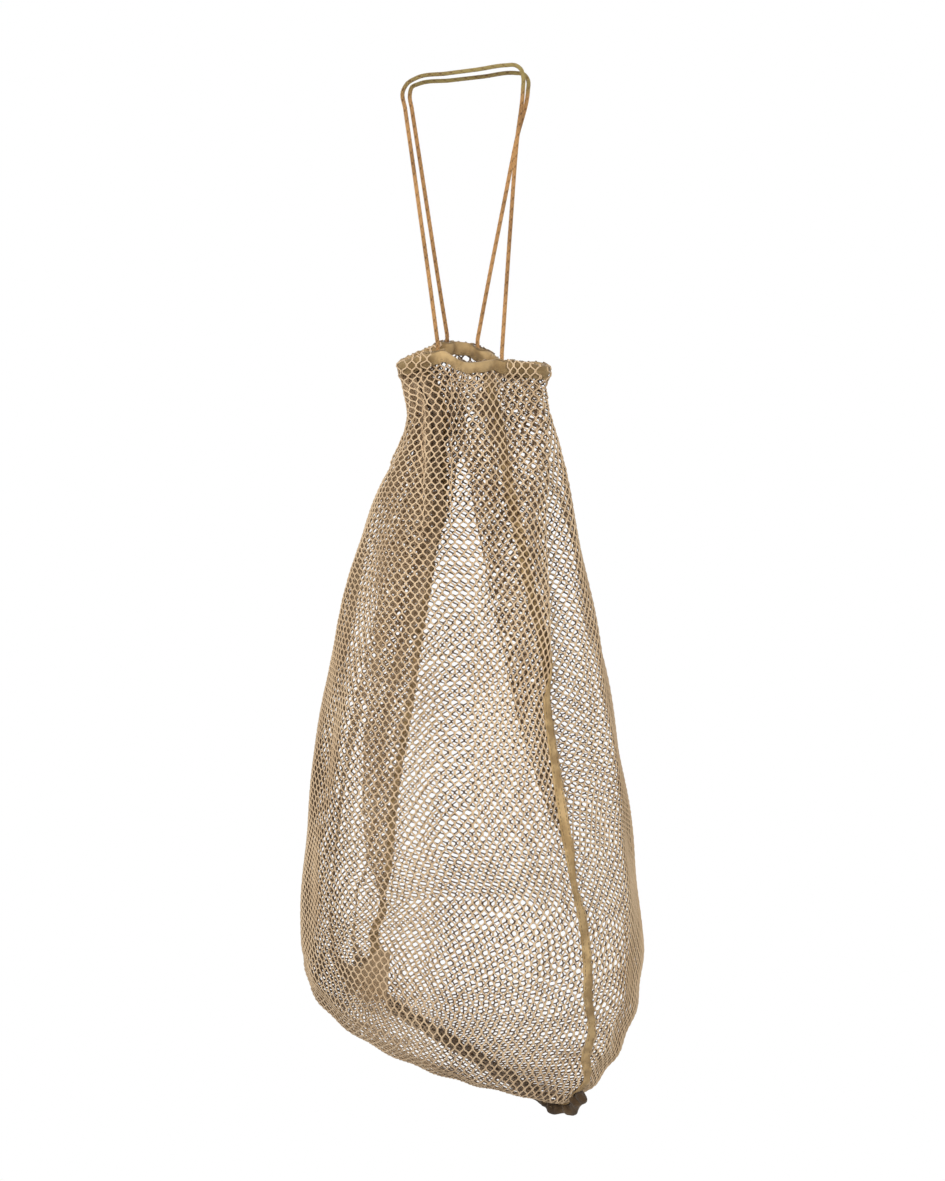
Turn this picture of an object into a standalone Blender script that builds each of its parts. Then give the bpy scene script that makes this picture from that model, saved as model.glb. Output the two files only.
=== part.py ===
"""Mesh drawstring bag hanging by its two cord loops.

Metres, +Z up, +X to the right and +Y to the back of the bag. The origin is the crown of the
loops, where a hook or a hand holds them. Two net panels are sewn along two side seams and a
bottom seam, and a folded tape round the mouth carries one closed drawcord, which comes out of
four slits and stands up as a front loop and a back loop.
"""

import bmesh
import bpy
import numpy as np
from mathutils import Matrix, Vector

# Net, tape, cord and thread
NET_THICK = 0.0012
TAPE_WIDTH = 0.0085
TAPE_THICK = 0.0009
CORD_RADIUS = 0.0020
THREAD_RADIUS = 0.0003
GAP = 0.0004

# Rim of the mouth: its height, how it tilts, and how the left wing hangs down
RIM_HEIGHT = -0.2032
RIM_TILT_X = -0.20
RIM_TILT_Y = 0.10
WING_DROOP = 0.62
WING_DROOP_START = 0.018
RIM_FADE_DEPTH = 0.110

# Plan of the mouth: a round opening between two flattened wings
MOUTH_SPREAD = 0.017
FRONT_MOUTH_X = 0.008
BACK_MOUTH_X = 0.002
FRONT_WING_SHARE = 0.30
BACK_WING_SHARE = 0.35
RIM_SQUARENESS = 4.0

# Casing: the tape folded over the rim, with a channel for the cord
CASING_HEIGHT = 0.0130
CHANNEL_HALF = 0.0033
CASING_WALL = 0.0008
NET_TUCK = 0.0033
FLARE_RISE = 0.0020
CORD_DEPTH = 0.0052
SLIT_HALF_LENGTH = 0.0060
SLIT_HALF_WIDTH = 0.0028
SLIT_DEPTH = 0.0026
SLIT_SHIFT = 0.0024
RING_RADIUS = 0.00045
RING_HALF_LENGTH = 0.0070
RING_HALF_WIDTH = 0.0037
RING_RISE = 0.00115
RING_SAG = 0.0016
PIVOT_RISE = 0.0044
STUB_DROP = 0.0023

# Wall below the casing: height, left, right, front, back, right seam and left seam angle
STATIONS = np.array((
    (-0.2210, -0.047, 0.059, -0.027, 0.023, -36, 118),
    (-0.2500, -0.043, 0.066, -0.036, 0.034, -38, 112),
    (-0.3000, -0.063, 0.075, -0.055, 0.052, -41, 108),
    (-0.3750, -0.085, 0.091, -0.083, 0.080, -50, 109),
    (-0.4550, -0.103, 0.109, -0.103, 0.100, -56, 114),
    (-0.5400, -0.117, 0.124, -0.118, 0.115, -55, 119),
    (-0.6200, -0.125, 0.133, -0.126, 0.123, -51, 122),
    (-0.6650, -0.127, 0.136, -0.128, 0.125, -49, 124),
))

# Rounded bottom, drawn together on a seam that drops to an ear at the right front
BOTTOM_ANGLE = np.radians(-42)
BOTTOM_HALF_LENGTH = 0.090
BOTTOM_HALF_THICK = 0.0014
BOTTOM_MIDDLE = -0.752
BOTTOM_DROP = -0.022
BOTTOM_SQUARENESS = 2.4
HEM_DEPTH = 0.0080

# Where the four cord slits are along the rim
EXIT_X = {"front_left": -0.021, "front_right": 0.027, "back_left": -0.0142, "back_right": 0.0084}

# Loop routes between their slits
FRONT_ROUTE = (
    (-0.0274, -0.0088, -0.150), (-0.0337, -0.0076, -0.105), (-0.0399, -0.0064, -0.060),
    (-0.0447, -0.0054, -0.026), (-0.0464, -0.0050, -0.013), (-0.0432, -0.0050, -0.0073),
    (-0.0360, -0.0050, -0.0030), (-0.0140, -0.0050, 0.0001), (0.0080, -0.0050, 0.0029),
    (0.0300, -0.0050, 0.0061), (0.0366, -0.0050, 0.0061), (0.0407, -0.0050, 0.0032),
    (0.0424, -0.0050, -0.0025), (0.0422, -0.0050, -0.012), (0.0380, -0.0055, -0.048),
    (0.0337, -0.0064, -0.105), (0.0303, -0.0075, -0.155),
)
BACK_ROUTE = (
    (-0.0212, 0.0110, -0.150), (-0.0280, 0.0086, -0.105), (-0.0348, 0.0066, -0.060),
    (-0.0400, 0.0054, -0.026), (-0.0415, 0.0050, -0.0155), (-0.0399, 0.0050, -0.0099),
    (-0.0345, 0.0050, -0.0074), (-0.0120, 0.0050, -0.0050), (0.0120, 0.0050, -0.0023),
    (0.0370, 0.0050, 0.0004), (0.0432, 0.0050, -0.0006), (0.0462, 0.0050, -0.0048),
    (0.0461, 0.0050, -0.0125), (0.0381, 0.0056, -0.0470), (0.0276, 0.0082, -0.100),
    (0.0178, 0.0126, -0.150),
)

# How finely the solids are cut
PANEL_COLUMNS = {"front": 33, "back": 21}
HEM_POINTS = 40
BODY_ROWS = 16
ROW_CROWDING = 1.4
BOTTOM_ROWS = 8
LOOP_POINTS = 44
RUN_STEP = 0.0036
BEND_POINTS = 5
RING_POINTS = 20
DENSE = 1200
SEAM_WINDOW = 0.35

# Colours
NET_TAN = (0.56, 0.41, 0.25)
TAPE_TAN = (0.44, 0.31, 0.15)
CORD_TAN = (0.42, 0.26, 0.12)
HEM_BROWN = (0.18, 0.12, 0.06)
THREAD_TAN = (0.50, 0.37, 0.20)


def cubic(heights, values, at):
    """Smooth curve through the values, with the slopes of their neighbours."""
    slope = np.gradient(values, heights)
    left = np.clip(np.searchsorted(heights, at) - 1, 0, len(heights) - 2)
    span = heights[left + 1] - heights[left]
    t = (at - heights[left]) / span
    return (
        (2 * t**3 - 3 * t**2 + 1) * values[left]
        + (t**3 - 2 * t**2 + t) * span * slope[left]
        + (3 * t**2 - 2 * t**3) * values[left + 1]
        + (t**3 - t**2) * span * slope[left + 1]
    )


def station(height):
    """Left, right, front, back and the two seam angles at a height."""
    rows = STATIONS[::-1]
    return [cubic(rows[:, 0], rows[:, k], height) for k in range(1, STATIONS.shape[1])]


def ease(t):
    t = np.clip(t, 0, 1)
    return t * t * (3 - 2 * t)


def power(value, exponent):
    return np.sign(value) * np.abs(value) ** exponent


def rim_rise(x, y):
    """How far the rim stands above its middle height."""
    droop = WING_DROOP * np.clip(-x - WING_DROOP_START, 0, None)
    return RIM_TILT_X * x + RIM_TILT_Y * y - droop


def waist(x, mouth_x, spread, wing_share, roundness):
    """Share of the full depth at x: the wings are pressed flat at the rim and round out below."""
    share = wing_share + (1 - wing_share) * np.exp(-(((x - mouth_x) / spread) ** 2))
    return share + (1 - share) * roundness


def body_ring(height, turn):
    """Points of the wall at one height, for angles in radians. The front is at minus 90 degrees."""
    left, right, front, back, *_ = station(height)
    roundness = ease((STATIONS[0, 0] - height) / RIM_FADE_DEPTH)
    exponent = 2 / (RIM_SQUARENESS + (2 - RIM_SQUARENESS) * roundness)
    half = (right - left) / 2
    x = (right + left) / 2 + half * power(np.cos(turn), exponent)
    spread = MOUTH_SPREAD * half / ((STATIONS[0, 2] - STATIONS[0, 1]) / 2)
    front_depth = -front * waist(x, FRONT_MOUTH_X, spread, FRONT_WING_SHARE, roundness)
    back_depth = back * waist(x, BACK_MOUTH_X, spread, BACK_WING_SHARE, roundness)
    depth = np.where(np.sin(turn) < 0, front_depth, back_depth)
    y = depth * power(np.sin(turn), exponent)
    z = height + rim_rise(x, y) * (1 - roundness)
    return np.stack([x, y, z], axis=-1)


def bottom_ring(share, turn, side=0):
    """Points of the rounded bottom, from the widest ring at share 0 to the bottom seam at 1.

    The front panel, side -1, and the back panel, side 1, keep apart at the seam.
    """
    ring = body_ring(STATIONS[-1, 0], turn)
    left, right, front, back = STATIONS[-1, 1:5]
    middle = np.array([(left + right) / 2, (front + back) / 2])
    along = np.array([np.cos(BOTTOM_ANGLE), np.sin(BOTTOM_ANGLE)])
    across = np.array([-along[1], along[0]])
    p = ring[:, :2] - middle
    reach = (right - left) / 2
    beta = share * np.pi / 2
    rise = np.sin(beta) ** (2 / BOTTOM_SQUARENESS)
    close = np.abs(np.cos(beta)) ** (2 / BOTTOM_SQUARENESS)
    length = 1 - (1 - BOTTOM_HALF_LENGTH / reach) * (1 - close)
    width = p @ across * close + side * BOTTOM_HALF_THICK * (1 - close)
    s = (p @ along) / reach
    seam = BOTTOM_MIDDLE + BOTTOM_DROP * s
    plan = middle + np.outer(p @ along * length, along) + np.outer(width, across)
    top = STATIONS[-1, 0]
    return np.column_stack([plan, top + (seam - top) * rise])


def wall_rows():
    """Each row of the wall as a function of angle and side, with its two seam angles, top first."""
    top = STATIONS[0, 0]
    right, left = np.radians(station(top)[4:])
    tuck = CASING_HEIGHT - NET_TUCK
    rows = [(lambda turn, side: rim_curve(turn) - np.array([0, 0, tuck]), right, left)]
    for share in np.linspace(0, 1, BODY_ROWS) ** ROW_CROWDING:
        height = top + (STATIONS[-1, 0] - top) * share
        right, left = np.radians(station(height)[4:])
        rows.append((lambda turn, side, h=height: body_ring(h, turn), right, left))
    end_right, end_left = BOTTOM_ANGLE, BOTTOM_ANGLE + np.pi
    for share in np.linspace(0, 1, BOTTOM_ROWS)[1:]:
        seams = right + (end_right - right) * share, left + (end_left - left) * share
        rows.append((lambda turn, side, q=share: bottom_ring(q, turn, side), *seams))
    hem = np.array([0, 0, HEM_DEPTH])
    rows.append((lambda turn, side: bottom_ring(1, turn, side) - hem, end_right, end_left))
    return rows


def rim_curve(turn):
    """Top edge of the casing."""
    ring = body_ring(STATIONS[0, 0], turn)
    ring[:, 2] = RIM_HEIGHT + rim_rise(ring[:, 0], ring[:, 1])
    return ring


def lengths(points):
    return np.concatenate([[0], np.cumsum(np.linalg.norm(np.diff(points, axis=0), axis=1))])


def even(points, count, trim=0.0):
    """The same line with evenly spaced points, cut back at both ends."""
    along = lengths(points)
    at = np.linspace(trim, along[-1] - trim, count)
    return np.column_stack([np.interp(at, along, points[:, k]) for k in range(3)])


def smooth(route, count):
    """Evenly spaced points on a smooth curve through the route."""
    route = np.array(route)
    along = lengths(route)
    fine = np.linspace(0, along[-1], DENSE)
    curve = np.column_stack([cubic(along, route[:, k], fine) for k in range(3)])
    return even(curve, count)


def material(name, colour, roughness):
    made = bpy.data.materials.new(name)
    made.use_nodes = True
    shader = made.node_tree.nodes["Principled BSDF"]
    shader.inputs["Base Color"].default_value = (*colour, 1)
    shader.inputs["Roughness"].default_value = roughness
    return made


def add(name, data, finish, collection):
    made = bpy.data.objects.new(name, data)
    made.data.materials.append(finish)
    collection.objects.link(made)
    return made


def cloth(name, grid, thick, finish, collection):
    """A sheet through rows of points, thickened evenly to both sides."""
    rows, columns, _ = grid.shape
    index = np.arange(rows * columns).reshape(rows, columns)
    quads = np.stack([index[:-1, :-1], index[:-1, 1:], index[1:, 1:], index[1:, :-1]], axis=-1)
    mesh = bpy.data.meshes.new(name)
    mesh.from_pydata(grid.reshape(-1, 3).tolist(), [], quads.reshape(-1, 4).tolist())
    mesh.shade_smooth()
    made = add(name, mesh, finish, collection)
    shell = made.modifiers.new("thickness", "SOLIDIFY")
    shell.thickness = thick
    shell.offset = 0
    return made


def tube(name, points, radius, sides, finish, collection, closed=False, origin=(0, 0, 0)):
    curve = bpy.data.curves.new(name, "CURVE")
    curve.dimensions = "3D"
    curve.bevel_depth = radius
    curve.bevel_resolution = sides
    curve.use_fill_caps = not closed
    line = curve.splines.new("POLY")
    line.points.add(len(points) - 1)
    line.use_cyclic_u = closed
    for spot, point in zip(line.points, points):
        spot.co = (*(point - np.array(origin)), 1)
    made = add(name, curve, finish, collection)
    made.location = origin
    return made


def sweep(name, places, outward, profile, finish, collection):
    """A closed profile of outward and upward offsets, carried along places."""
    mesh = bmesh.new()
    rings = []
    for place, out in zip(places, outward):
        spots = [place + n * out + np.array([0, 0, h]) for n, h in profile]
        rings.append([mesh.verts.new(spot) for spot in spots])
    count = len(profile)
    for ring, following in zip(rings, rings[1:]):
        for k in range(count):
            j = (k + 1) % count
            mesh.faces.new((ring[k], ring[j], following[j], following[k]))
    mesh.faces.new(rings[0])
    mesh.faces.new(rings[-1])
    bmesh.ops.recalc_face_normals(mesh, faces=mesh.faces)
    data = bpy.data.meshes.new(name)
    mesh.to_mesh(data)
    mesh.free()
    return add(name, data, finish, collection)


def outward_of(points, closed=False):
    """Level directions square to a line that runs with the outside on its right."""
    if closed:
        step = np.roll(points, -1, axis=0) - np.roll(points, 1, axis=0)
    else:
        step = np.gradient(points, axis=0)
    out = np.column_stack([step[:, 1], -step[:, 0], np.zeros(len(step))])
    return out / np.linalg.norm(out, axis=1)[:, None]


def seam_strip(rows, which, offset, across):
    """Points along a side seam, at given distances to its sides and above the net."""
    grid = []
    around = []
    for ring, right, left in rows:
        seam = (right, left)[which]
        near = ring(seam + np.linspace(-SEAM_WINDOW, SEAM_WINDOW, DENSE + 1), 0)
        along = lengths(near) - lengths(near)[DENSE // 2]
        step = np.gradient(near, along, axis=0)
        grid.append([[np.interp(a, along, near[:, k]) for k in range(3)] for a in across])
        around.append([[np.interp(a, along, step[:, k]) for k in range(3)] for a in across])
    grid = np.array(grid)
    out = np.cross(np.gradient(grid, axis=0), around)
    return grid + offset * out / np.linalg.norm(out, axis=2)[:, :, None]


for leftover in list(bpy.data.objects):
    bpy.data.objects.remove(leftover)
bag = bpy.data.collections.new("mesh_drawstring_bag")
cutters = bpy.data.collections.new("cutters")
bpy.context.scene.collection.children.link(bag)
bpy.context.scene.collection.children.link(cutters)
cutters.hide_render = True

net_finish = material("net_yarn", NET_TAN, 0.8)
tape_finish = material("woven_tape", TAPE_TAN, 0.85)
cord_finish = material("braided_cord", CORD_TAN, 0.8)
hem_finish = material("bottom_binding", HEM_BROWN, 0.9)
thread_finish = material("sewing_thread", THREAD_TAN, 0.7)

rows = wall_rows()

# Net panels
for side, turns_back, sign in (("front", 2 * np.pi, -1), ("back", 0, 1)):
    arcs = [ring(np.linspace(right, left - turns_back, DENSE), sign) for ring, right, left in rows]
    grid = np.array([even(arc, PANEL_COLUMNS[side], GAP) for arc in arcs])
    cloth(f"{side}_net_panel", grid, NET_THICK, net_finish, bag)

# Side seam tapes, between the casing and the bottom binding, with a row of stitches on each
taped = rows[1:-2]
tape_rise = NET_THICK / 2 + 2 * GAP + TAPE_THICK / 2
thread_rise = NET_THICK / 2 + TAPE_THICK + 3 * GAP + THREAD_RADIUS
tape_across = np.array((-0.5, 0, 0.5)) * TAPE_WIDTH
for which, side in enumerate(("right", "left")):
    strip = seam_strip(taped, which, tape_rise, tape_across)
    cloth(f"{side}_seam_tape", strip, TAPE_THICK, tape_finish, bag)
    line = seam_strip(taped, which, thread_rise, (0.0,))[:, 0]
    tube(f"{side}_seam_stitch", line, THREAD_RADIUS, 0, thread_finish, bag)

# Bottom binding, folded round both panels
hem_line = even(bottom_ring(1, np.linspace(BOTTOM_ANGLE + np.pi, BOTTOM_ANGLE, DENSE)), HEM_POINTS)
inner = BOTTOM_HALF_THICK + NET_THICK / 2 + GAP
outer = inner + TAPE_THICK
floor = HEM_DEPTH + GAP
mouth = HEM_DEPTH - TAPE_WIDTH * 0.75
binding = (
    (inner, -mouth), (outer, -mouth), (outer, -floor - TAPE_THICK),
    (-outer, -floor - TAPE_THICK), (-outer, -mouth), (-inner, -mouth), (-inner, -floor), (inner, -floor),
)
hem_out = outward_of(hem_line)
sweep("bottom_seam_tape", hem_line, hem_out, binding, hem_finish, bag)
stitch_out = (outer + GAP + THREAD_RADIUS) * hem_out
stitch_drop = np.array([0, 0, (mouth + floor) / 2])
tube("bottom_seam_stitch", hem_line + stitch_out - stitch_drop, THREAD_RADIUS, 0, thread_finish, bag)

# Rim of the casing, measured along its length from the right seam through the front
rim_right, rim_left = rows[0][1:]
rim = rim_curve(np.linspace(rim_right, rim_right - 2 * np.pi, 4 * DENSE))
rim_along = lengths(rim)
rim_out = -outward_of(rim[:-1], closed=True)
rim_out = np.vstack([rim_out, rim_out[:1]])
left_seam_turn = (rim_right - rim_left) % (2 * np.pi)
left_seam_at = rim_along[round(left_seam_turn / (2 * np.pi) * (len(rim) - 1))]


def on_rim(at):
    """Points and outward directions at distances along the rim."""
    at = np.atleast_1d(at) % rim_along[-1]
    place = np.column_stack([np.interp(at, rim_along, rim[:, k]) for k in range(3)])
    out = np.column_stack([np.interp(at, rim_along, rim_out[:, k]) for k in range(3)])
    return place, out


def exit_at(name):
    """Distance along the rim of a slit."""
    side = -1 if name.startswith("front") else 1
    away = np.abs(rim[:, 0] - EXIT_X[name]) + (rim[:, 1] * side < 0)
    return rim_along[np.argmin(away)]


# Casing: the folded tape, one length on each panel
pinch = NET_THICK / 2 + GAP
wide = CHANNEL_HALF + CASING_WALL
flare = CASING_HEIGHT - NET_TUCK
half_casing = (
    (pinch, -CASING_HEIGHT), (pinch + CASING_WALL, -CASING_HEIGHT), (pinch + CASING_WALL, -flare),
    (wide, -flare + FLARE_RISE), (wide, -3 * CASING_WALL), (0.65 * wide, -0.6 * CASING_WALL),
)
half_channel = (
    (0.6 * CHANNEL_HALF, -1.6 * CASING_WALL), (CHANNEL_HALF, -3.5 * CASING_WALL),
    (CHANNEL_HALF, -flare + FLARE_RISE), (pinch, -flare),
)
casing_profile = (
    *half_casing, (0, 0), *((-n, h) for n, h in half_casing[::-1]),
    *((-n, h) for n, h in half_channel[::-1]), (0, -CASING_WALL), *half_channel,
)
slit_place = {name: exit_at(name) for name in EXIT_X}
slit_step = {name: 1 if name in ("front_left", "back_right") else -1 for name in EXIT_X}
spans = {"front": (0, left_seam_at), "back": (left_seam_at, rim_along[-1])}
for side, (start, stop) in spans.items():
    at = np.linspace(start + GAP, stop - GAP, PANEL_COLUMNS[side])
    place, out = on_rim(at)
    casing = sweep(f"{side}_casing", place, out, casing_profile, tape_finish, bag)
    thread = place + out * (pinch + CASING_WALL + GAP + THREAD_RADIUS)
    drop = np.array([0, 0, CASING_HEIGHT - NET_TUCK / 2])
    tube(f"{side}_casing_stitch", thread - drop, THREAD_RADIUS, 0, thread_finish, bag)
    for name in EXIT_X:
        if not name.startswith(side):
            continue
        spot, out = (a[0] for a in on_rim(slit_place[name] + slit_step[name] * SLIT_SHIFT))
        along = np.cross(out, (0, 0, 1))
        bpy.ops.mesh.primitive_cube_add(size=2)
        cutter = bpy.context.object
        cutter.name = f"{name}_slit"
        cutter.users_collection[0].objects.unlink(cutter)
        cutters.objects.link(cutter)
        turn = Matrix((along, out, np.cross(along, out))).transposed().to_4x4()
        cutter.data.transform(Matrix.Diagonal((SLIT_HALF_LENGTH, SLIT_HALF_WIDTH, SLIT_DEPTH, 1)))
        cutter.matrix_world = Matrix.Translation(Vector(spot)) @ turn
        cutter.hide_render = True
        cutter.display_type = "WIRE"
        cut = casing.modifiers.new(f"{name} slit", "BOOLEAN")
        cut.object = cutter

# Buttonhole stitching round each slit
round_turn = np.linspace(0, 2 * np.pi, RING_POINTS, endpoint=False)
lean = np.sin(round_turn)
for name in EXIT_X:
    middle = slit_place[name] + slit_step[name] * SLIT_SHIFT
    place, out = on_rim(middle + RING_HALF_LENGTH * np.cos(round_turn))
    points = place + out * (RING_HALF_WIDTH * lean)[:, None]
    points[:, 2] += RING_RISE - RING_SAG * lean**2
    tube(f"{name}_buttonhole", points, RING_RADIUS, 1, thread_finish, bag, closed=True)

# Drawcord: two hidden runs through the wings and two free loops
bend = CORD_DEPTH + PIVOT_RISE - STUB_DROP
bend_in = bend * (1 - np.cos(np.linspace(0, np.pi / 2, BEND_POINTS)))[:-1]
for name, first, last in (("left", "front_left", "back_left"), ("right", "back_right", "front_right")):
    start, stop = slit_place[first], slit_place[last]
    stop = stop if stop > start else stop + rim_along[-1]
    straight = np.linspace(start + bend, stop - bend, int((stop - start - 2 * bend) / RUN_STEP))
    along = np.concatenate([start + bend_in, straight, stop - bend_in[::-1]])
    inside = np.clip(np.minimum(along - start, stop - along), 0, bend)
    place, _ = on_rim(along)
    place[:, 2] += bend - CORD_DEPTH - np.sqrt(bend**2 - (bend - inside) ** 2)
    tube(f"{name}_cord_run", place, CORD_RADIUS, 2, cord_finish, bag)

for name, route in (("front", FRONT_ROUTE), ("back", BACK_ROUTE)):
    ends, _ = on_rim(np.array([slit_place[f"{name}_left"], slit_place[f"{name}_right"]]))
    left, right = ends + np.array([0, 0, PIVOT_RISE])
    points = smooth((left, *route, right), LOOP_POINTS)
    tube(f"{name}_loop", points, CORD_RADIUS, 2, cord_finish, bag, origin=left)
    axis = (right - left) / np.linalg.norm(right - left)
    print(f"{name} loop: {lengths(points)[-1]:.4f} m, hinge at {left.round(5)} along {axis.round(5)}")
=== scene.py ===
"""Looks of a mesh drawstring bag: knitted net, taped seams, folded casing and braided drawcord.

Metres, in the frame of the solids: +Z up, +X to the right, +Y to the back, origin at the crown
of the loops. The wall of the bag is one surface: depth -1 is the rim of the mouth, 0 the wall
just below the casing, 1 the widest ring, 2 the bottom seam. Every yarn, tape and stitch is laid
out on that surface, and the net is folded where it is drawn together at the neck.
"""

from collections import namedtuple

import bpy
import numpy as np
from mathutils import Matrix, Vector


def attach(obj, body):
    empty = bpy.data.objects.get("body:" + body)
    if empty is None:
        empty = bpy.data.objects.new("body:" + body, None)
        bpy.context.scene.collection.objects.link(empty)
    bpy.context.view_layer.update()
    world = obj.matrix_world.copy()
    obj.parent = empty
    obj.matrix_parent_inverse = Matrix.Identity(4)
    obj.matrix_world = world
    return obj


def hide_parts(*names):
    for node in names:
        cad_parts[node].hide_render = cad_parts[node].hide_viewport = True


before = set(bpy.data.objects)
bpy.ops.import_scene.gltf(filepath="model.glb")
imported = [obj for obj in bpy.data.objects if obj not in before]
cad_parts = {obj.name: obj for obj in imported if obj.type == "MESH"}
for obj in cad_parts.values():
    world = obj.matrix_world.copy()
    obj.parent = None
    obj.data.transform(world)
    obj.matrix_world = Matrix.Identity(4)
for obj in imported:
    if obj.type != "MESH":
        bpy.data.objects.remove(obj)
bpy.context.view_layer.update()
scene = bpy.context.scene
rng = np.random.default_rng(7)

TURN = 2 * np.pi
UP = np.array((0.0, 0.0, 1.0))

# Camera, stage and light all round
CAMERA_TARGET = Vector((0.005, 0.0, -0.388))
CAMERA_DISTANCE = 2.25
CAMERA_ELEVATION = np.radians(10)
CAMERA_LENS = 90
FLOOR_HEIGHT = -1.30
FLOOR_RADIUS = 0.90
FLOOR_THICK = 0.01
FLOOR_SIDES = 96
WORLD_LIGHT = 0.22

# Lamps: name, place, size and watts
LAMPS = (
    ("key", (-0.5, -2.2, 0.9), 1.2, 44.0),
    ("fill", (1.7, -1.5, -0.1), 1.4, 22.0),
    ("left_fill", (-2.0, -1.0, 0.0), 1.2, 17.0),
    ("rim_light", (0.3, 1.9, 1.0), 1.4, 26.0),
)

# Rim of the mouth, as in the solids
RIM_HEIGHT = -0.2032
RIM_TILT_X = -0.20
RIM_TILT_Y = 0.10
WING_DROOP = 0.62
WING_DROOP_START = 0.018
RIM_FADE_DEPTH = 0.110
MOUTH_SPREAD = 0.017
FRONT_MOUTH_X = 0.008
BACK_MOUTH_X = 0.002
FRONT_WING_SHARE = 0.30
BACK_WING_SHARE = 0.35
RIM_SQUARENESS = 4.0

# Sag of the rim between the wings, at the front and at the back
FRONT_SAG = 0.0060
FRONT_SAG_X = -0.003
FRONT_SAG_WIDTH = 0.015
BACK_SAG = 0.0070
BACK_SAG_X = 0.033
BACK_SAG_WIDTH = 0.013
SAG_DEPTH = 0.22

# Wall: height, left, right, front, back, right seam and left seam angle
STATIONS = np.array((
    (-0.2210, -0.047, 0.059, -0.027, 0.023, -36, 118),
    (-0.2500, -0.043, 0.066, -0.036, 0.034, -38, 112),
    (-0.3000, -0.063, 0.075, -0.055, 0.052, -41, 108),
    (-0.3750, -0.085, 0.091, -0.083, 0.080, -50, 109),
    (-0.4550, -0.103, 0.109, -0.103, 0.100, -56, 114),
    (-0.5400, -0.117, 0.124, -0.118, 0.115, -55, 119),
    (-0.6200, -0.125, 0.133, -0.126, 0.123, -51, 122),
    (-0.6650, -0.127, 0.136, -0.128, 0.125, -49, 124),
))
WALL_TOP = STATIONS[0, 0]
WALL_END = STATIONS[-1, 0]
RIM_LIFT = RIM_HEIGHT - WALL_TOP

# Bottom seam, as in the solids
BOTTOM_ANGLE = np.radians(-42)
BOTTOM_RUN = np.array((np.cos(BOTTOM_ANGLE), np.sin(BOTTOM_ANGLE), 0.0))
BOTTOM_SIDE = np.cross(UP, BOTTOM_RUN)
BOTTOM_HALF_LENGTH = 0.090
BOTTOM_HALF_THICK = 0.0014
BOTTOM_MIDDLE = -0.752
BOTTOM_DROP = -0.022
BOTTOM_SQUARENESS = 2.4
BOTTOM_FACING = 0.9

# Flaps: height, right width, tuck of the right seam, left width, how far the left one passes its seam
FLAPS = np.array((
    (-0.6650, 0.000, 0.000, 0.000, 0.000),
    (-0.6200, 0.000, 0.000, 0.022, 0.000),
    (-0.5700, 0.000, -0.004, 0.032, 0.000),
    (-0.5300, 0.012, -0.006, 0.036, 0.000),
    (-0.4850, 0.021, -0.003, 0.036, 0.000),
    (-0.4550, 0.026, 0.000, 0.038, 0.000),
    (-0.4300, 0.030, 0.006, 0.041, 0.000),
    (-0.3750, 0.044, 0.020, 0.050, 0.000),
    (-0.3400, 0.0526, 0.0275, 0.050, 0.004),
    (-0.3000, 0.062, 0.036, 0.050, 0.011),
    (-0.2750, 0.074, 0.040, 0.044, 0.019),
    (-0.2500, 0.080, 0.042, 0.036, 0.018),
    (-0.2210, 0.078, 0.044, 0.018, 0.013),
))
FLAP_GROWTH = 0.015
FLAP_EDGE = 0.003
FLAP_SLOPE = 6.7
TUCK_GROWTH = 0.006
FOLD_STEPS = 9

# Gap between the layers of a fold: height and gap
LAYER_GAPS = np.array(((-0.420, 0.0060), (-0.300, 0.0045), (-0.250, 0.0028), (-0.2210, 0.0009)))

# Pleats that take up the rest of the net at the neck: heights and the deepest they can be there
PLEAT_HEIGHTS = np.array((-0.460, -0.420, -0.350, -0.290, -0.250, -0.2210))
PLEAT_LIMITS = {
    "front": (0.000, 0.000, 0.000, 0.003, 0.005, 0.001),
    "left": (0.040, 0.040, 0.040, 0.026, 0.012, 0.006),
    "back": (0.000, 0.010, 0.024, 0.030, 0.032, 0.016),
}
PLEAT_GAP = 0.0030
PLEAT_STEPS = 7
LEAST_PLEAT = 0.0001
LEAST_GAP = PLEAT_GAP / 10
FRONT_PLEATS_X = (-0.012, -0.032)
LEFT_PLEAT_SHARES = (0.50, 0.76)
BACK_PLEAT_X = 0.022
MIDDLE_X = 0.005

# Unevenness of the hanging net: heights, and how many waves go round and down and where they start
DRAPE_HEIGHT = 0.0022
DRAPES = 9
DRAPE_LEAN = 0.8
DRAPE_BENDS = 0.6
DRAPE_END = 1.15
DRAPE_FADE = 0.7
DENT_HEIGHT = 0.0020
DENTS = (4, 1.3, 0.0)
CROSSING_DENTS = (5, 2.1, 1.0)
SMALL_WAVE_HEIGHT = 0.0007
SMALL_WAVES = (17, -1.9, 0.5)
WAVE_GROWTH = 0.25
WAVE_FADE = 0.35

# Knitted net
YARNS = {"front": 132, "back": 117}
MIDDLE_YARN = 29
YARN_SPACING = 0.0033
STRAND = 0.00527
LEAST_RISE = 0.5 * STRAND
YARN_RADIUS = 0.00066
YARN_SIDES = 4
ZIGZAG = 0.82
LEG_SHARE = 0.25
YARN_WEAVE = 0.00025
PATH_STEP = 0.0016
RING_POINTS = 1440
NET_DEPTHS = np.linspace(-1, 2, 320)
PANEL_POINTS = 760

# Net over the casing: heights above the wall and how far it stands off, then where it is tucked in
CASING_LIFTS = np.array((-0.0050, 0.0010, 0.0048, 0.0065, 0.0095, 0.0145, 0.0170, 0.0178))
CASING_BULGE = np.array((0.0000, 0.0012, 0.0027, 0.0036, 0.0050, 0.0050, 0.0038, 0.0016))
TUCK_DEPTH = -0.62
TUCKED_BULGE_DEPTH = 0.15
TUCKED_LAYER = 0.0017
FRONT_CENTRE = (-0.024, 0.030)

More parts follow.
